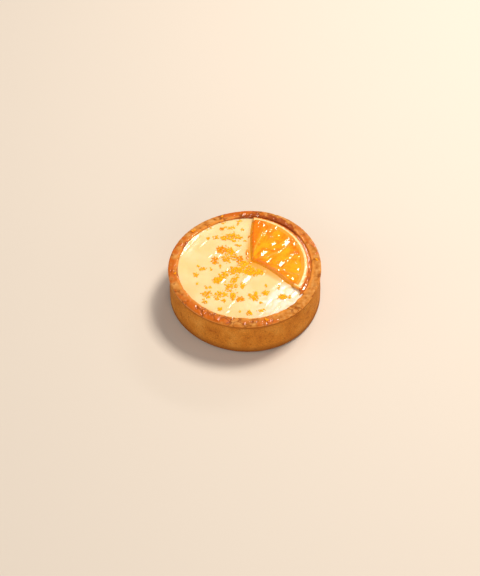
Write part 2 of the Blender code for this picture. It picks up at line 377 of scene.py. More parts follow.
def crackAt(angle, height):
    deepest = 0.0
    for degrees, middle, lean, length, depth in crust["cracks"]:
        sideways = (angleApart(math.degrees(angle), degrees + (height - middle) * lean * 1.4)) * 0.7
        ends = smooth(length / 2, length / 4, abs(height - middle))
        deepest = max(deepest, depth * bell(sideways, 0.4) * ends)
    return deepest


def crustPlace(angle, radius, height, normal):
    edge = case["radius"]
    inside = edge - case["wall"]
    top = case["height"]
    intoWall = min(1.0, max(0.0, (edge - radius) / case["wall"]))
    spread = radius - (wallAt(angle) - case["wall"]) * intoWall * min(radius / inside, 1)
    spread *= outlineScale(angle)
    lift = rimLift(angle) * max(0.0, 1 - (top - height) / (2 * case["lipDrop"]))
    point = Vector((spread * math.cos(angle), spread * math.sin(angle), height))
    onRim = smooth(top - 1.5, top - 0.5, height)
    onSide = 0.0 if radius < inside + 1 else smooth(0.3, 2.0, height) * (1 - onRim)
    onSide *= smooth(top - 1.2, top - 2.2, height)
    outside = smooth(edge - 1.0, edge - 0.5, radius)
    pit = 0.0
    push = 0.0
    if onRim > 0:
        near = noise.voronoi(point / crust["pitSize"])[0][0]
        pit = smooth(0.42, 0.12, near) * smooth(0.0, 0.45, rough(point, 4.0, 1, 8.0)) * onRim
        push += onRim * crust["rimCrag"] * rough(point, crust["rimCragSize"]) * (1 - 0.75 * outside)
        push -= crust["pitDepth"] * pit
        # cracks run where two pieces of the broken surface meet, and only in some stretches
        warped = point / crust["pieceSize"] + crust["pieceWarp"] * warp(point / 1.5)
        nearest, second = noise.voronoi(warped)[0][:2]
        crevice = smooth(0.13, 0.02, second - nearest) * smooth(-0.05, 0.3, rough(point, 5.0, 1, 15.0))
        crevice *= onRim
        push -= crust["creviceDepth"] * crevice * (1 - outside)
        # the pits and cracks are painted darker too: painted shade in the hollows
        pit = max(0.7 * pit, 0.8 * crevice)
        push += onRim * crust["rimGrain"] * rough(point, crust["rimGrainSize"], 2, 2.0)
    if onSide > 0:
        push += onSide * crust["sideWave"] * rough(point, crust["sideWaveSize"], 2)
        push += onSide * crust["sideGrain"] * rough(point, crust["sideGrainSize"])
        hole = smooth(0.26, 0.1, noise.voronoi(point / crust["holeSize"])[0][0])
        push -= onSide * crust["holeDepth"] * hole
        push -= crackAt(angle, height)
        # the side's holes are painted darker as well: painted shade
        pit = max(pit, 0.5 * hole * onSide)
    push -= crust["outsideInset"] * outside
    patch = 0.0
    if onRim > 0.9:
        patch, leaning = patchAt(point.xy, crust["patches"], crust["patchSlope"])
        push = push * (1 - patch) + leaning
    radial = Vector((math.cos(angle), math.sin(angle), 0))
    point += radial * (normal[0] * push) + Vector((0, 0, normal[1] * push + lift))
    nearTop = smooth(top - 6, top - 4, height) * smooth(edge, edge - 1, radius)
    # the syrup's dark colour on the inner edge is partly painted shade, behind the orange
    soaked = soakedAndShadedAt(angle, radius, point) * nearTop if nearTop > 0 else 0.0
    glaze = max(glazeAt(angle, point) * onRim, soaked) if onRim > 0 else soaked
    # painted highlight: the top edges are painted a lighter orange, the outer one all round, the inner one
    # where it isn't soaked
    brim = bell(radius - inside - 0.5, 0.9) * smooth(top - 1.2, top - 0.4, height) * (1 - soaked)
    shine = max(bell(height - (top - 0.75), 0.4) * outside, 0.85 * brim)
    # painted shade: a darker band on the outside just under the lip
    crease = bell(height - (top - case["lipDrop"] - 0.4), 0.9) * outside
    return point, {"rim": onRim, "pit": pit, "glaze": max(glaze, patch), "soaked": soaked, "crease": crease,
                   "shine": shine}


def bakedShortcrust():
    # shortcrust, baked golden in a ring: matt and sandy on the side, rougher and redder on the cut rim, and
    # shiny orange where syrup was brushed on
    material, tree = newMaterial("bakedShortcrust")
    place = inMillimetres(tree)
    rim, glaze, shine, crease, soaked, pit = (
        addNode(tree, "Attribute", {"attribute_name": mask}).outputs["Fac"]
        for mask in ("rim", "glaze", "shine", "crease", "soaked", "pit")
    )
    # size in millimetres and detail of each pattern
    blotch, crumb, rimBlotch, fine = (
        addNode(tree, "TexNoise", {"Scale": 1 / size, "Detail": detail}, {"Vector": place})
        for size, detail in ((9, 4.0), (0.55, 3.0), (2.4, 5.0), (0.4, 2.0))
    )
    stops = ((0.3, "#B4681E"), (0.5, "#C47826"), (0.72, "#D08A38"))
    sideTone = addNode(tree, "ValToRGB", {"stops": stops}, {"Fac": blotch})
    span = {"From Min": 0.3, "From Max": 0.7, "To Min": 0.74, "To Max": 1.2}
    crumbTone = addNode(tree, "MapRange", span, {"Value": crumb})
    side = addNode(tree, "VectorMath", {"operation": "SCALE"}, {0: sideTone, "Scale": crumbTone})
    stops = ((0.24, "#A65C1C"), (0.44, "#C2782E"), (0.7, "#DA9850"))
    rimTone = addNode(tree, "ValToRGB", {"stops": stops}, {"Fac": rimBlotch})
    colour = addNode(tree, "Mix", {"data_type": "RGBA"}, {mixShare: rim, mixFrom: side, mixTo: rimTone})
    height = addNode(tree, "SeparateXYZ", None, {0: place}).outputs["Z"]
    # darker towards the foot, over its lowest 5 mm
    darkerToFoot = addNode(tree, "MapRange", {"From Min": 5.0, "From Max": 0.2}, {"Value": height})
    # each layer covers the ones before it, among them painted highlight and painted shade; the last darkens
    # the foot
    for share, tint in ((glaze, "#C8620A"), (shine, "#E08A34"), (crease, "#985012"), (soaked, "#A0480C"),
                        (pit, "#823C0A"), (darkerToFoot, "#7E4214")):
        colour = addNode(tree, "Mix", {"data_type": "RGBA", mixTo: srgb(tint)},
                         {mixShare: share, mixFrom: colour})
    matt = addNode(tree, "MapRange", {"To Min": 0.85, "To Max": 0.4}, {"Value": glaze})
    thinCoat = addNode(tree, "MapRange", {"To Min": 0.0, "To Max": 0.7}, {"Value": glaze})
    grain = addNode(tree, "Bump", {"Strength": 0.7, "Distance": 0.00008}, {"Height": fine})
    shader = addNode(tree, "BsdfPrincipled", {
        "Subsurface Weight": 0.06, "Subsurface Radius": (1.0, 0.5, 0.25), "Subsurface Scale": 0.0012,
        "Coat Roughness": 0.06, "Coat IOR": 1.33, "Specular IOR Level": 0.12,
    }, {"Base Color": colour, "Roughness": matt, "Coat Weight": thinCoat,
        "Normal": grain})
    addNode(tree, "OutputMaterial", None, {"Surface": shader})
    return material


crustMesh = turnedMesh("bakedCase", crustProfile(), crust["steps"], crustPlace)
dressed("bakedCase", crustMesh, bakedShortcrust(), "tart_shell")
print("baked case made")


# the custard

custard = {
    "steps": 420, "ringGap": 0.36, "overlap": 0.12,
    "streakDepth": 0.16, "streakSpacing": 4.6, "streakFrom": 20.0,
    "streakDegrees": -46, "streakHalfWidth": 36,
    "ripple": 0.03, "rippleSize": 3.5, "roll": 0.14, "rollSize": 9.0,
    # how high and how far out it is pushed up round the orange
    "heaped": 0.3, "heapedWidth": 0.9,
    # small flats that the spatula left, which catch the light: x, y, half width, half length, lean
    "patchSlope": 0.3,
    "patches": (
        (-30.3, 16.2, 0.8, 2.4, 1), (-26.8, 21.2, 0.9, 2.7, 0.95), (-34, 9.9, 0.5, 3, 1),
        (-21.6, 18.5, 0.6, 2.4, 0.85), (-14.7, 12.2, 0.6, 1.8, 0.95), (-17.9, 9.8, 0.6, 1.2, 0.95),
        (-13.4, 9.3, 0.5, 1.5, 0.9), (-3.9, 12.2, 0.6, 1.5, 1), (-9.7, -0.7, 0.5, 1.1, 1),
        (9.7, -3.4, 0.8, 1.4, 0.9), (-11.6, -7.7, 0.6, 1.6, 0.95), (0.6, -7.4, 1.2, 2.4, 0.84),
        (-7.6, -24, 0.5, 2.5, 1), (-9.8, -29.6, 0.8, 1.5, 0.9), (7.1, -31.8, 0.8, 2, 0.95),
        (14.8, -29, 0.8, 3.4, 1), (20.8, -20.4, 0.7, 1.8, 1), (25.6, -17.8, 1.2, 3, 1),
        (18.5, -9.6, 0.6, 1.8, 0.9), (-15.8, -27.8, 0.4, 1.5, 1), (11.3, -23.5, 0.5, 2.4, 0.95),
    ),
    # where it was pushed up against the wall: degrees, half width in degrees, rise
    "pushedUp": ((148, 14, 0.5), (178, 10, 0.2), (-52, 22, 0.3)),
}


def custardProfile():
    outside = case["radius"] - case["wall"]
    top = filling["level"]
    low = case["floor"] + 0.05
    profile = [(0.0, top)]
    profile += walk([(0.0, top), (outside, top)], custard["ringGap"])
    profile += walk([(outside, top), (outside, low + 2)], 2.5)
    profile += arc((outside - 2, low + 2), 2.0, -20, -90, 4)
    profile += walk([(outside - 2, low), (0.0, low)], 4.0)
    return profile


def streakAt(x, y):
    # shallow curved tracks that the spatula left in the lower right
    flat = Vector((x, y, 0))
    radius = math.hypot(x, y)
    degrees = math.degrees(math.atan2(y, x))
    here = bell(angleApart(degrees, custard["streakDegrees"]), custard["streakHalfWidth"])
    here *= smooth(custard["streakFrom"] - 4, custard["streakFrom"] + 3, radius)
    bend = 4.2 * rough(flat, 8.0, 2, 3.0)
    wave = math.sin(2 * math.pi * (radius + bend) / custard["streakSpacing"])
    return here * (0.65 + 0.9 * rough(flat, 6.0, 2, 21.0)) * wave, here


def custardPlace(angle, radius, height, normal):
    outside = case["radius"] - case["wall"]
    spread = radius * (innerRadius(angle) + custard["overlap"]) / outside
    x = spread * math.cos(angle)
    y = spread * math.sin(angle)
    if height < filling["level"] - 0.01:
        return Vector((x, y, height)), {"cream": 0.0, "juice": 0.0}
    flat = Vector((x, y, 0))
    streak, here = streakAt(x, y)
    ripple = custard["ripple"] * rough(flat, custard["rippleSize"], 2, 5.0)
    ripple += custard["roll"] * rough(flat, custard["rollSize"], 1, 9.0)
    away = max(0.0, outsideWedge(flat.xy))
    rise = custard["heaped"] * bell(away, custard["heapedWidth"])
    reach = smooth(outside - 6.0, outside, radius)
    for degrees, halfWidth, pushed in custard["pushedUp"]:
        rise += pushed * reach * bell(angleApart(math.degrees(angle), degrees), halfWidth)
    patch, lift = patchAt(flat.xy, custard["patches"], custard["patchSlope"])
    uneven = (custard["streakDepth"] * streak + ripple) * (1 - patch)
    point = Vector((x, y, custardTop(x, y) + uneven + rise + lift))
    # paler along the spatula's tracks in the lower right, most on their crests
    cream = smooth(0.1, 0.8, here * (0.7 + 0.5 * streak))
    # most juice ran out near the tip; the orange tint there is also a painted glow, light through the slice
    # that lifts its shadow
    side = smooth(-14, 4, y) * smooth(28, 10, y)
    juice = bell(away, 0.8 + 1.2 * side) * (0.4 + 0.6 * side)
    return point, {"cream": cream, "juice": juice}


def setCustard():
    # baked custard with egg yolk and cream: smooth, pale yellow and glossy, and lit a little from inside
    material, tree = newMaterial("setCustard")
    place = inMillimetres(tree)
    cloud = addNode(tree, "TexNoise", {"Scale": 1 / 12, "Detail": 2.0}, {"Vector": place})
    stops = ((0.35, "#F2CC8A"), (0.65, "#F6D79E"))
    colour = addNode(tree, "ValToRGB", {"stops": stops}, {"Fac": cloud})
    # the orange tint beside the slice is juice and painted glow
    for mask, tint in (("cream", "#F8E8CE"), ("juice", "#FFA63C")):
        share = addNode(tree, "Attribute", {"attribute_name": mask}).outputs["Fac"]
        colour = addNode(tree, "Mix", {"data_type": "RGBA", mixTo: srgb(tint)},
                         {mixShare: share, mixFrom: colour})
    skin = addNode(tree, "TexNoise", {"Scale": 1 / 1.6, "Detail": 2.0}, {"Vector": place})
    bump = addNode(tree, "Bump", {"Strength": 0.25, "Distance": 0.0001}, {"Height": skin})
    shader = addNode(tree, "BsdfPrincipled", {
        "Roughness": 0.16, "IOR": 1.45, "Subsurface Weight": 0.3, "Subsurface Radius": (1.0, 0.7, 0.3),
        "Subsurface Scale": 0.003,
    }, {"Base Color": colour, "Normal": bump})
    addNode(tree, "OutputMaterial", None, {"Surface": shader})
    return material


custardMesh = turnedMesh("setCustard", custardProfile(), custard["steps"], custardPlace)
dressed("setCustard", custardMesh, setCustard(), "custard")
print("custard made")


# the zest

zest = {
    "seed": 28, "least": 0.42, "most": 0.95, "pile": 0.25, "more": 2.2, "wider": 1.04,
    "strays": 0.09, "strayReach": 1.6, "sunkSeat": 0.09, "clearOfOrange": 0.2,
    # least and most stretch of a fleck along each axis, and how far it may tilt, in radians
    "stretch": ((1.0, 1.7), (0.7, 1.0), (0.34, 0.55)), "tilt": 0.6, "lumpiness": 0.55, "lumpScale": 3.2,
    # clumps: x, y, spread in x, spread in y, flecks
    "bright": (
        (-8, 12.6, 2, 2.6, 26), (-9.4, 7.6, 3.2, 2.6, 34), (-5.8, 8.6, 1.6, 2.6, 10),
        (-1, 3.4, 2.4, 1.8, 26), (-5.6, -0.8, 3.4, 2.6, 52), (0.6, -0.8, 3.6, 2.6, 70),
        (3.5, -3.2, 3, 1.6, 34), (6.8, -2.6, 2.4, 2, 44), (-10.4, -3.6, 1.6, 2.4, 18),
        (-14.6, -7, 2.2, 2, 28), (-12.6, -5, 1.4, 2, 14), (-6.2, -7.6, 1.6, 2.2, 16),
        (-4.6, -5.2, 1, 1.6, 8), (-1.8, -11.4, 1.2, 1.9, 14), (-8.6, -12.4, 2, 3, 26),
        (-19.8, -12, 1.8, 1, 8), (-20.4, -16.8, 2.6, 2.4, 26), (-13.2, -17.2, 3.6, 1.9, 40),
        (-15, -19.8, 1, 1, 7), (-6.6, -18.6, 1.4, 2.8, 22), (-20.9, -21.8, 1.2, 1, 9),
        (-11.6, -21.6, 1.1, 1, 8), (-13.7, -27.1, 1.2, 1, 9), (-3.4, -28.6, 0.5, 0.7, 4),
        (1.3, -29.9, 1.4, 1.6, 14), (7.9, -28.4, 1.8, 0.9, 12), (4.4, -19.6, 2.1, 2.1, 30),
        (5.2, -16.6, 0.8, 0.8, 5), (1.8, -17.8, 0.8, 0.9, 5), (10.1, -16.9, 1.6, 1.4, 18),
        (10.6, -12, 0.4, 1.2, 4), (17, -13.4, 0.8, 1.3, 8), (18.6, -19.6, 2.2, 1.6, 28),
        (22.3, -20.2, 0.5, 0.6, 4), (7.3, -23.2, 0.6, 0.6, 4), (-6.6, 22.8, 2.2, 2.2, 28),
        (-10.8, 21.8, 1.5, 1.5, 16), (-2.8, 22.4, 2, 1.6, 12), (-5.6, 19.8, 1, 0.8, 5),
        (-7.6, 29.2, 2.2, 1.4, 12), (-3.4, 31.6, 0.5, 0.5, 3), (-1.2, 27.4, 0.6, 1, 4),
        (-19.5, 21.6, 0.7, 0.8, 5), (-15, 22.6, 1.2, 1.2, 6), (-19.8, 28.8, 1.7, 1.3, 14),
        (-11.2, 33, 1.1, 1.4, 10), (-2.4, 33.6, 1.4, 0.6, 6), (-22.6, 0.8, 1.6, 1, 10),
        (-17.8, 0.6, 0.5, 1, 4), (-26.2, -3.6, 1, 1.8, 8), (-25.2, -9.4, 0.5, 0.5, 3),
        (-24.6, 2.6, 0.5, 0.5, 3), (-13, 2.4, 0.6, 1.2, 5), (-3.6, 16.6, 1.6, 0.7, 6),
        (0.2, 19.8, 0.6, 0.8, 3), (-5.2, -11.6, 0.8, 1.2, 5),
    ),
    "deep": (
        (-12.2, 13.8, 2.4, 2.6, 40), (-15.6, 6.4, 1.8, 2.2, 24), (-3, 6.4, 1.8, 2.4, 24),
        (-2.9, -20.7, 1.9, 1.6, 26), (-12, 28.6, 1.1, 1, 10),
    ),
    # single flecks on the rim: x, y
    "onRim": (
        (-27.6, 25.6), (-26.6, 26.4), (10.6, -36.2), (9.8, -35.6), (-11.8, 36.0), (-36.6, -3.6),
        (37.2, 3.6),
    ),
}


def ballPoints(subdivisions):
    form = bmesh.new()
    bmesh.ops.create_icosphere(form, subdivisions=subdivisions, radius=0.5)
    points = [vertex.co.copy() for vertex in form.verts]
    faces = [tuple(vertex.index for vertex in face.verts) for face in form.faces]
    form.free()
    return points, faces


def fleckPoints(ball, seat, size, draw):
    # one torn crumb of zest: a lumpy ball drawn out one way and flattened
    stretch = [draw.uniform(least, most) for least, most in zest["stretch"]]
    shape = Matrix.Scale(size, 4) @ Matrix.Diagonal(stretch + [1])
    turn = Matrix.Rotation(draw.uniform(0, 2 * math.pi), 4, "Z")
    turn = turn @ Matrix.Rotation(draw.uniform(-zest["tilt"], zest["tilt"]), 4, "X")
    shift = Vector((draw.uniform(0, 90), 0, 0))
    place = Matrix.Translation(seat) @ turn @ shape
    lumps = (1 + zest["lumpiness"] * noise.noise(point * zest["lumpScale"] + shift) for point in ball)
    return [place @ (point * lump) for point, lump in zip(ball, lumps)]


def scatter(clumps, draw):
    for x, y, spreadX, spreadY, flecks in clumps:
        count = round(flecks * zest["more"])
        for index in range(count):
            reach = zest["wider"] * math.sqrt((index + 0.5) / count) * draw.uniform(0.75, 1.25)
            reach *= zest["strayReach"] if draw.random() < zest["strays"] else 1.0
            angle = draw.uniform(0, 2 * math.pi)
            point = Vector((x + spreadX * reach * math.cos(angle), y + spreadY * reach * math.sin(angle)))
            size = zest["least"] + (zest["most"] - zest["least"]) * draw.random() ** 1.3
            stack = zest["pile"] * smooth(14, 50, count) * max(0.0, 1 - reach) * draw.random()
            roomToWall = innerRadius(math.atan2(point.y, point.x)) - point.length
            if roomToWall > size * 0.6 and outsideWedge(point) > zest["clearOfOrange"]:
                lift = patchAt(point, custard["patches"], custard["patchSlope"])[1]
                height = custardTop(point.x, point.y) + lift + zest["sunkSeat"] * size + stack
                yield Vector((point.x, point.y, height)), size


def gratedZest(name, dark, light):
    # peel taken off with a fine grater: moist crumbs of oil cells that let light through at their edges
    material, tree = newMaterial(name)
    place = inMillimetres(tree)
    speck = addNode(tree, "TexNoise", {"Scale": 1 / 1.3, "Detail": 2.0}, {"Vector": place})
    tone = addNode(tree, "ValToRGB", {"stops": ((0.36, dark), (0.62, light))}, {"Fac": speck})
    cells = addNode(tree, "TexVoronoi", {"Scale": 1 / 0.25}, {"Vector": place})
    bump = addNode(tree, "Bump", {"Strength": 0.3, "Distance": 0.00003}, {"Height": cells})
    shader = addNode(tree, "BsdfPrincipled", {
        "Roughness": 0.75, "Specular IOR Level": 0.2, "Subsurface Weight": 0.12,
        "Subsurface Radius": (1.0, 1.0, 0.3), "Subsurface Scale": 0.0004,
    }, {"Base Color": tone, "Normal": bump})
    addNode(tree, "OutputMaterial", None, {"Surface": shader})
    return material


def zestPiece(name, seats, material, replaced, draw):
    ball, ballFaces = ballPoints(2)
    points = []
    faces = []
    for seat, size in seats:
        first = len(points)
        points += fleckPoints(ball, seat, size, draw)
        faces += [tuple(first + corner for corner in face) for face in ballFaces]
    dressed(name, meshFrom(name, points, faces), material, replaced)


draw = random.Random(zest["seed"])
brightZest = gratedZest("gratedZest", "#FFA606", "#FFC018")
deepZest = gratedZest("gratedZestDeep", "#FC8E02", "#FFA810")
zestPiece("zestBright", scatter(zest["bright"], draw), brightZest, "custard", draw)
zestPiece("zestDeep", scatter(zest["deep"], draw), deepZest, "custard", draw)
rimSeats = [(Vector((x, y, case["height"] + rimLift(math.atan2(y, x)) + 0.2)), 1.3) for x, y in zest["onRim"]]
zestPiece("zestOnRim", rimSeats, deepZest, "tart_shell", draw)
print("zest made")


# the candied orange

pulp = {
    "columns": 190, "rows": 130, "along": 0.935, "under": 0.15,
    "membraneWidth": 0.4, "membraneRise": 0.18, "cornerRound": 3.0, "outerGap": 3.3, "wander": 3.4,
    "lump": 0.4, "lumpSize": 6.4, "dimple": 0.05, "dimpleSize": 2.6, "widen": 0.012, "facetSlope": 0.3,
    # the radius at which an angle counts as millimetres in the pattern of juice cells
    "cellRadius": 24,
    # patches where the set glaze lies flat, all leaning one way: x, y, half width, half length, lean
    "facets": (
        (17.9, 20.9, 0.6, 0.6, 1), (18.3, 15.8, 0.4, 0.4, 1), (15.2, 15, 0.8, 1, 1),
        (24.8, 7.1, 0.8, 0.7, 1), (10.4, 28.5, 0.6, 0.6, 1), (7.2, 27.5, 0.4, 0.4, 1),
        (8.1, 30.4, 0.4, 0.6, 0.9), (9.6, 8.4, 1, 2.1, 0.9), (12.4, 3.2, 0.5, 1.4, 1),
        (18.6, 0.8, 1.1, 1.7, 0.86), (17.2, -3.4, 0.5, 0.6, 1), (22.1, -7, 0.5, 0.6, 1),
        (24.4, -9.4, 0.7, 0.7, 0.9), (27.6, -3.2, 0.5, 0.8, 1), (21.8, 2.4, 0.6, 0.7, 1),
        (10.9, 22, 0.4, 1.1, 1), (14, 24.6, 0.5, 1.2, 1), (17, 26.2, 0.4, 0.9, 1),
        (21.8, 15.4, 1.4, 2.3, 0.82), (28.2, 6, 0.4, 1, 1), (26.2, 14.4, 0.8, 0.8, 1),
    ),
    # dark spots where syrup sank in: x, y, size, strength
    "sunk": (
        (3.6, 4.9, 1.6, 1), (7, 3.9, 1.5, 0.7), (3.6, 10.3, 1.4, 0.9), (24.5, 17, 2.6, 0.6),
        (27, 9.5, 1.6, 0.7), (20, -5.5, 2.4, 0.6), (13.5, 27.5, 2, 0.5),
    ),
}


def spread(steps):
    # shares from 0 to 1, closer together at both ends, where the edges are round
    for step in range(steps + 1):
        share = step / steps
        yield share - math.sin(2 * math.pi * share) * 0.11


def segmentGap(point):
    # how far a point of the pulp is from the nearest membrane or from the pith, with round outer corners
    offset = point - wedge["centre"]
    radius = offset.length
    degrees = math.degrees(math.atan2(offset.y, offset.x))
    sideways = math.inf
    for index, membrane in enumerate(wedge["membranes"]):
        wander = pulp["wander"] * math.sin(radius / 5.5 + 2.1 * index) * smooth(6, 16, radius)
        sideways = min(sideways, math.radians(abs(degrees - membrane - wander)) * radius)
    outward = wedge["radius"] - pulp["outerGap"] - radius
    corner = pulp["cornerRound"]
    if sideways < corner and outward < corner:
        return corner - math.hypot(corner - sideways, corner - outward)
    return min(sideways, outward)


def pulpTop(point, fromEdge):
    full = smooth(0, wedge["edgeRound"], fromEdge)
    flat = Vector((point.x, point.y, 0))
    membrane = smooth(pulp["membraneWidth"] * 1.7, pulp["membraneWidth"] * 0.5, segmentGap(point))
    lump = pulp["lump"] * rough(flat, pulp["lumpSize"], 2, 6.0)
    lump += pulp["dimple"] * rough(flat, pulp["dimpleSize"], 2)
    facet, lift = patchAt(point, pulp["facets"], pulp["facetSlope"])
    relief = pulp["membraneRise"] * membrane * (1 - facet)
    relief += lump * (1 - 0.6 * membrane) * (1 - facet)
    height = wedge["edge"] + (wedge["thick"] - wedge["edge"]) * full + full * (relief + lift)
    return height, membrane, full


def makePulp():
    points = []
    masks = {"membrane": [], "edge": [], "deep": []}
    polar = []
    widen = pulp["widen"]
    blunt = wedge["tipBlunt"]
    acrossShares = [share * (1 + 2 * widen) - widen for share in spread(pulp["columns"])]
    alongShares = [blunt + (pulp["along"] - blunt) * step / pulp["rows"] for step in range(pulp["rows"] + 1)]
    for along in alongShares:
        for across in acrossShares:
            point = wedgePoint(across, along)
            reach = (wedgePoint(across, 1) - wedge["tip"]).length
            fromSides = min((point - wedgePoint(end, along)).length for end in (-widen, 1 + widen))
            fromEdge = min(fromSides, (along - blunt) * reach)
            height, membrane, full = pulpTop(point, fromEdge)
            points.append((point.x, point.y, custardTop(point.x, point.y) + height))
            sunk = sum(share * bell((point - Vector((x, y))).length, size)
                       for x, y, size, share in pulp["sunk"])
            # the glaze is deeper in colour in a sliver along the left side, and a little along every edge
            sliver = 0.75 * smooth(0.84, 0.9, across) + 0.25 * smooth(3.4, 1.6, fromEdge)
            masks["membrane"].append(membrane)
            masks["edge"].append(1 - full)
            masks["deep"].append(min(1.0, max(sliver, sunk)) * full)
            offset = point - wedge["centre"]
            polar += (math.atan2(offset.y, offset.x) * pulp["cellRadius"], offset.length, 0)
    width = len(acrossShares)
    corners = gridCorners(len(alongShares), width)
    faces = [(corner, corner + width, corner + width + 1, corner + 1) for corner in corners]
    mesh = meshFrom("candiedPulp", points, faces, masks)
    layer = mesh.attributes.new("polar", "FLOAT_VECTOR", "POINT")
    layer.data.foreach_set("vector", polar)
    form = formOf(mesh)
    rim = [edge for edge in form.edges if edge.is_boundary]
    lowered = bmesh.ops.extrude_edge_only(form, edges=rim)["geom"]
    for vertex in (item for item in lowered if isinstance(item, bmesh.types.BMVert)):
        vertex.co.z = (custardTop(vertex.co.x / mm, vertex.co.y / mm) - pulp["under"]) * mm
    lowRim = [item for item in lowered if isinstance(item, bmesh.types.BMEdge)]
    bmesh.ops.triangle_fill(form, use_beauty=True, edges=lowRim)
    return sealed(form, mesh)


def candiedPulp():
    # orange flesh boiled in sugar: juice cells turned to clear amber jelly under a wet glaze, with pale
    # membranes between them
    material, tree = newMaterial("candiedPulp")
    place = inMillimetres(tree)
    membrane, deep, edge = (
        addNode(tree, "Attribute", {"attribute_name": mask}).outputs["Fac"]
        for mask in ("membrane", "deep", "edge")
    )
    polar = addNode(tree, "Attribute", {"attribute_name": "polar"}).outputs["Vector"]
    juiceCell = addNode(tree, "Mapping", {"Scale": (1 / 1.3, 1 / 4.5, 1)}, {"Vector": polar})
    cells = addNode(tree, "TexVoronoi", {"Scale": 1.0}, {"Vector": juiceCell})
    cellTone = addNode(tree, "SeparateColor", None, {0: cells.outputs["Color"]})
    pool = addNode(tree, "TexNoise", {"Scale": 1 / 6, "Detail": 2.0, "Distortion": 0.6}, {"Vector": place})
    blend = addNode(tree, "Math", {"operation": "MULTIPLY_ADD", 1: 0.28}, {0: cellTone, 2: pool})
    stops = ((0.4, "#EE7C00"), (0.6, "#FA9804"), (0.82, "#FFA808"))
    colour = addNode(tree, "ValToRGB", {"stops": stops}, {"Fac": blend})
    # the cut sides are painted a lighter orange: a painted glow standing in for light through the slice
    for share, tint in ((membrane, "#FB9E30"), (deep, "#EA7200"), (edge, "#FF9A10")):
        colour = addNode(tree, "Mix", {"data_type": "RGBA", mixTo: srgb(tint)},
                         {mixShare: share, mixFrom: colour})
    bump = addNode(tree, "Bump", {"Strength": 0.35, "Distance": 0.0002}, {"Height": cells})
    # the glaze thins out down the cut sides
    glaze = addNode(tree, "Math", {"operation": "MULTIPLY_ADD", 1: -0.85, 2: 1.0}, {0: edge})
    shader = addNode(tree, "BsdfPrincipled", {
        "Roughness": 0.5, "Specular IOR Level": 0.05, "Subsurface Weight": 0.6,
        "Subsurface Radius": (1.0, 0.5, 0.1), "Subsurface Scale": 0.0022,
        "Coat Roughness": 0.04, "Coat IOR": 1.36,
    }, {"Base Color": colour, "Normal": bump, "Coat Weight": glaze})
    addNode(tree, "OutputMaterial", None, {"Surface": shader})
    return material


dressed("candiedPulp", makePulp(), candiedPulp(), "orange_slice")
print("candied pulp made")


# what is left of a band's section in the first steps from each end, which rounds the ends off
bandEnds = (0.45, 0.75, 0.9, 0.97)


def sweptBand(name, section, steps, tint):
    # sweeps a closed section, as (depth in from the peel, height over the custard), along the outer arc
    points = []
    masks = []
    loops = [section(step / steps) for step in range(steps + 1)]
    count = len(loops[0])
    for step, loop in enumerate(loops):
        outer = wedgePoint(step / steps, 1)
        inward = (wedge["tip"] - outer).normalized()
        middleIn, middleUp = (sum(values) / count for values in zip(*loop))
        ends = min(step, steps - step)
        shrink = bandEnds[ends] if ends < len(bandEnds) else 1
        for depth, height in loop:
            depth = middleIn + (depth - middleIn) * shrink
            height = middleUp + (height - middleUp) * shrink
            point = outer + inward * depth
            points.append((point.x, point.y, custardTop(point.x, point.y) + height))
            masks.append(tint(step / steps, depth, height))
    faces = [tuple(range(count - 1, -1, -1)), tuple(range(steps * count, steps * count + count))]
    for step in range(steps):
        for corner in range(count):
            after = (corner + 1) % count
            low = step * count
            faces.append((low + corner, low + after, low + count + after, low + count + corner))
    mesh = meshFrom(name, points, faces, {"tint": masks})
    return sealed(formOf(mesh), mesh)


pith = {
    "steps": 260, "points": 13, "outer": 0.7, "inner": 3.5, "height": 2.1, "wander": 0.6, "waver": 0.16,
    # wider at its lower end and narrower towards the upper one
    "wider": 1.4, "narrower": 1.0, "crown": 0.22, "grain": 0.05, "innerDrop": 0.5,
}
peel = {
    "steps": 420, "points": 17, "inner": 1.15, "height": 2.15, "bulge": 0.3, "waver": 0.14,
    "gland": 0.09, "glandSize": 0.85, "foot": 0.1,
}


def pithSection(across):
    outer = wedgePoint(across, 1)
    flat = Vector((outer.x, outer.y, 0))
    inner = pith["inner"] + pith["wander"] * rough(flat, 3.0, 3, 1.0)
    inner += pith["wider"] * smooth(0.22, 0.0, across) - pith["narrower"] * smooth(0.45, 0.85, across)
    height = pith["height"] + pith["waver"] * rough(flat, 2.2, 2, 2.0)
    loop = [(pith["outer"], -wedge["under"])]
    for index in range(pith["points"]):
        share = index / (pith["points"] - 1)
        depth = pith["outer"] + (inner - pith["outer"]) * share
        crown = pith["crown"] * math.sin(math.pi * min(1, share * 1.15))
        grain = pith["grain"] * rough(flat + Vector((depth, 0, 0)), 0.8, 2)
        loop.append((depth, height + crown + grain - pith["innerDrop"] * smooth(0.75, 1.0, share)))
    loop.append((inner, -wedge["under"]))
    return loop


def peelSection(across):
    outer = wedgePoint(across, 1)
    flat = Vector((outer.x, outer.y, 0))
    height = peel["height"] + peel["waver"] * rough(flat, 2.6, 2, 3.0)
    middle = peel["inner"] * 0.55
    loop = [(peel["inner"], -wedge["under"])]
    for index in range(peel["points"]):
        share = index / (peel["points"] - 1)
        angle = math.pi * (0.5 + 0.62 * share)
        depth = middle + (middle + peel["bulge"]) * math.cos(angle)
        if share < 0.75:
            rise = height * 0.5 + height * 0.5 * math.sin(angle)
        else:
            rise = max(-wedge["under"], height * (1 - share) * 1.3)
        near = noise.voronoi((flat + Vector((0, 0, rise))) / peel["glandSize"])[0][0]
        loop.append((depth + peel["gland"] * smooth(0.5, 0.15, near), rise))
    loop.append((peel["foot"], -wedge["under"]))
    return loop


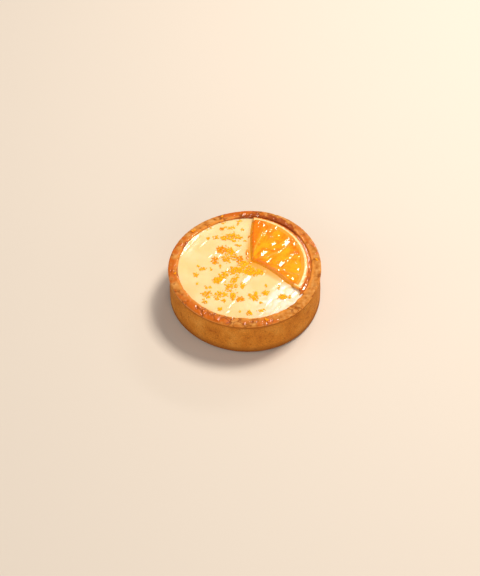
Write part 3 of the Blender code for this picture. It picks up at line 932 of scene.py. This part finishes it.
def candiedRind(name, stops, bumpSize, bumpDepth, roughness):
    # the rind of the slice after candying; tint says how far each point is from one layer to the next
    material, tree = newMaterial(name)
    place = inMillimetres(tree)
    tint = addNode(tree, "Attribute", {"attribute_name": "tint"}).outputs["Fac"]
    mottle = addNode(tree, "TexNoise", {"Scale": 1 / 1.1, "Detail": 3.0}, {"Vector": place})
    mixed = addNode(tree, "Math", {"operation": "MULTIPLY_ADD", 1: 0.5}, {0: mottle, 2: tint})
    tone = addNode(tree, "ValToRGB", {"stops": stops}, {"Fac": mixed})
    cells = addNode(tree, "TexVoronoi", {"Scale": 1 / bumpSize}, {"Vector": place})
    bump = addNode(tree, "Bump", {"Strength": 0.6, "Distance": bumpDepth}, {"Height": cells})
    shader = addNode(tree, "BsdfPrincipled", {
        "Roughness": roughness, "IOR": 1.45, "Subsurface Weight": 0.35, "Subsurface Radius": (1.0, 0.6, 0.2),
        "Subsurface Scale": 0.0012, "Coat Weight": 0.8, "Coat Roughness": 0.1, "Coat IOR": 1.45,
    }, {"Base Color": tone, "Normal": bump})
    addNode(tree, "OutputMaterial", None, {"Surface": shader})
    return material


def pithTint(across, depth, height):
    # orange only where the pith meets the pulp, and at its cut ends
    ends = max(smooth(0.016, 0.0, across), smooth(0.988, 1.0, across))
    return max(0.75 * ends, smooth(2.7, 3.9, depth - 1.3 * smooth(0.2, 0.0, across)))


def peelTint(across, depth, height):
    # darker towards the foot, where the peel meets the custard
    return smooth(2.6, 1.2, height)


# spongy white pith soaked in syrup
pithStops = ((0.15, "#FCD898"), (0.5, "#FABE62"), (0.85, "#F39C26"))
pithMesh = sweptBand("candiedPith", pithSection, pith["steps"], pithTint)
pithMaterial = candiedRind("candiedPith", pithStops, 0.5, 0.00006, 0.35)
dressed("candiedPith", pithMesh, pithMaterial, "orange_slice")

# waxy peel, pitted by its oil glands
peelStops = ((0.15, "#FFB440"), (0.35, "#F4921C"), (0.7, "#DC7410"))
peelMesh = sweptBand("candiedPeel", peelSection, peel["steps"], peelTint)
peelMaterial = candiedRind("candiedPeel", peelStops, 0.85, 0.00012, 0.28)
dressed("candiedPeel", peelMesh, peelMaterial, "orange_slice")
print("rind made")


# syrup

syrup = {
    "steps": 220, "lanes": 14, "from": -40.0, "to": 84.0, "fill": 0.35, "meniscus": 0.75, "highTo": 42.0,
    "intoWall": 0.25, "underPeel": 0.35, "taper": 0.12, "ripple": 0.08, "rippleSize": 2.5, "under": 0.6,
    # drops along the left cut side: x, y, width, length, height
    "drops": (
        (2.5, 22.4, 1.6, 2.8, 0.35), (1.2, 11.6, 1.7, 4.4, 0.4), (1.2, 7.4, 1.4, 2.4, 0.35),
        (2.7, 4.2, 2.0, 1.8, 0.4),
    ),
}


def syrupPool():
    # lies in the gap between the peel and the wall, and climbs both
    points = []
    for step in range(syrup["steps"] + 1):
        degrees = syrup["from"] + (syrup["to"] - syrup["from"]) * step / syrup["steps"]
        angle = math.radians(degrees)
        outward = Vector((math.cos(angle), math.sin(angle)))
        wall = innerRadius(angle) + syrup["intoWall"]
        offset = outward.dot(wedge["centre"])
        square = offset ** 2 - wedge["centre"].length_squared + wedge["radius"] ** 2
        insideCircle = offset + math.sqrt(max(0, square))
        ends = smooth(0, syrup["taper"], min(step, syrup["steps"] - step) / syrup["steps"])
        start = insideCircle - syrup["underPeel"] + (wall - insideCircle) * 0.8 * (1 - ends)
        heaped = smooth(syrup["highTo"] + 8, syrup["highTo"] - 6, degrees)
        for lane in range(syrup["lanes"] + 1):
            share = lane / syrup["lanes"]
            point = outward * (start + (wall - start) * share)
            climb = syrup["meniscus"] * (2 * share - 1) ** 4
            ripple = syrup["ripple"] * rough(Vector((point.x, point.y, 0)), syrup["rippleSize"], 2, 11.0)
            # where it is heaped it stands highest against the peel
            over = 1.0 + 0.75 * (1 - share) ** 1.6 + 0.35 * share ** 6
            filled = (syrup["fill"] + climb) * (1 - heaped) + over * heaped + ripple
            height = custardTop(0, 0) + filled * ends - 0.1 * (1 - ends)
            points.append((point.x, point.y, height))
    lanes = syrup["lanes"] + 1
    corners = gridCorners(syrup["steps"] + 1, lanes)
    faces = [(corner, corner + 1, corner + lanes + 1, corner + lanes) for corner in corners]
    mesh = meshFrom("syrupPool", points, faces)
    form = formOf(mesh)
    made = bmesh.ops.extrude_face_region(form, geom=form.faces[:])
    for vertex in (item for item in made["geom"] if isinstance(item, bmesh.types.BMVert)):
        vertex.co.z = (filling["level"] - syrup["under"]) * mm
    return sealed(form, mesh)


def syrupDrops():
    form = bmesh.new()
    for x, y, width, length, height in syrup["drops"]:
        made = bmesh.ops.create_icosphere(form, subdivisions=4, radius=0.5)
        for vertex in made["verts"]:
            vertex.co *= 1 + 0.25 * noise.noise(vertex.co * 1.6 + Vector((x, y, 0)))
        shape = Matrix.Diagonal((width, length, height * 1.6, 1))
        lean = Matrix.Rotation(math.radians(-12), 4, "Z")
        seat = Matrix.Translation((x, y, custardTop(x, y) + height * 0.15))
        bmesh.ops.transform(form, matrix=seat @ lean @ shape, verts=made["verts"])
    form.transform(Matrix.Scale(mm, 4))
    mesh = bpy.data.meshes.new("syrupDrops")
    form.to_mesh(mesh)
    form.free()
    return mesh


def boiledSyrup(name, hexDeep, hexBright):
    # sugar syrup with orange juice, boiled to amber: wet, clear and darker where it is deep
    material, tree = newMaterial(name)
    place = inMillimetres(tree)
    depth = addNode(tree, "TexNoise", {"Scale": 1 / 4.0, "Detail": 2.0}, {"Vector": place})
    tone = addNode(tree, "ValToRGB", {"stops": ((0.35, hexDeep), (0.68, hexBright))}, {"Fac": depth})
    shader = addNode(tree, "BsdfPrincipled", {
        "Roughness": 0.08, "IOR": 1.47, "Subsurface Weight": 0.3, "Subsurface Radius": (1.0, 0.35, 0.06),
        "Subsurface Scale": 0.0015, "Coat Weight": 1.0, "Coat Roughness": 0.03, "Coat IOR": 1.47,
    }, {"Base Color": tone})
    addNode(tree, "OutputMaterial", None, {"Surface": shader})
    return material


dressed("syrupPool", syrupPool(), boiledSyrup("boiledSyrup", "#B25208", "#DC7E16"))
dressed("syrupDrops", syrupDrops(), boiledSyrup("boiledSyrupDrops", "#E0760E", "#F8A030"))
print("syrup made")


# floor, camera and light

studio = {
    "floor": "#DCCEBE", "floorSize": 1.6, "floorDrop": 0.00002, "skyColour": "#F4F6FA", "sky": 0.27,
    "lens": 112.5, "place": (0.0, -0.6130, 0.7324), "yaw": -0.29, "pitch": 49.88, "roll": -1.55,
    # all lights point here; name, place, size, power in watts, colour
    "target": (0, 0, 0.01),
    "lights": (
        ("keyLight", (0.38, 0.33, 0.85), (0.26, 0.26), 8.5, "#FFF8EE"),
        ("leftFill", (-0.92, -0.2, 0.42), (0.7, 0.6), 2.4, "#FFFDF8"),
        ("frontFill", (0.15, -1.02, 0.34), (0.8, 0.4), 4.6, "#FFFAF2"),
        ("rightFill", (0.95, -0.35, 0.3), (0.5, 0.4), 1.0, "#FFFAF4"),
        ("backStrip", (0.43, 0.76, 0.5), (0.5, 0.06), 1.4, "#FFFFFF"),
        ("glintBox", (0.17, 0.52, 0.84), (0.11, 0.06), 0.5, "#FFFFFF"),
    ),
}


def makeFloor():
    form = bmesh.new()
    bmesh.ops.create_grid(form, x_segments=2, y_segments=2, size=studio["floorSize"])
    mesh = bpy.data.meshes.new("floor")
    form.to_mesh(mesh)
    form.free()
    # matt board in pale beige, which shows the shadow softly
    material, tree = newMaterial("paleFloor")
    shader = addNode(tree, "BsdfPrincipled", {"Base Color": srgb(studio["floor"]), "Roughness": 0.7})
    addNode(tree, "OutputMaterial", None, {"Surface": shader})
    mesh.materials.append(material)
    floor = linked("floor", mesh)
    floor.location.z = cadBox[0][2] - studio["floorDrop"]


def makeCamera():
    data = bpy.data.cameras.new("camera")
    data.sensor_width = 36.0
    data.lens = studio["lens"]
    data.clip_start = 0.05
    yaw = math.radians(studio["yaw"])
    pitch = math.radians(studio["pitch"])
    roll = math.radians(studio["roll"])
    ahead = Vector((math.sin(yaw) * math.cos(pitch), math.cos(yaw) * math.cos(pitch), -math.sin(pitch)))
    level = Vector((math.cos(yaw), -math.sin(yaw), 0))
    upright = level.cross(ahead)
    across = level * math.cos(roll) + upright * math.sin(roll)
    up = upright * math.cos(roll) - level * math.sin(roll)
    turn = Matrix((across, up, -ahead)).transposed().to_4x4()
    camera = linked("camera", data)
    camera.matrix_world = Matrix.Translation(studio["place"]) @ turn
    bpy.context.scene.camera = camera


def softbox(name, place, size, power, colour):
    data = bpy.data.lights.new(name, "AREA")
    data.shape = "RECTANGLE"
    data.size, data.size_y = size
    data.energy = power
    data.color = srgb(colour)[:3]
    lamp = linked(name, data)
    lamp.location = place
    lamp.rotation_euler = (Vector(studio["target"]) - Vector(place)).to_track_quat("-Z", "Y").to_euler()


def makeWorld():
    world = bpy.data.worlds.new("studio")
    bpy.context.scene.world = world
    world.use_nodes = True
    background = world.node_tree.nodes["Background"]
    background.inputs["Color"].default_value = srgb(studio["skyColour"])
    background.inputs["Strength"].default_value = studio["sky"]


makeFloor()
makeCamera()
makeWorld()
for light in studio["lights"]:
    softbox(*light)
bpy.context.scene.view_settings.view_transform = "Standard"
print("studio made")
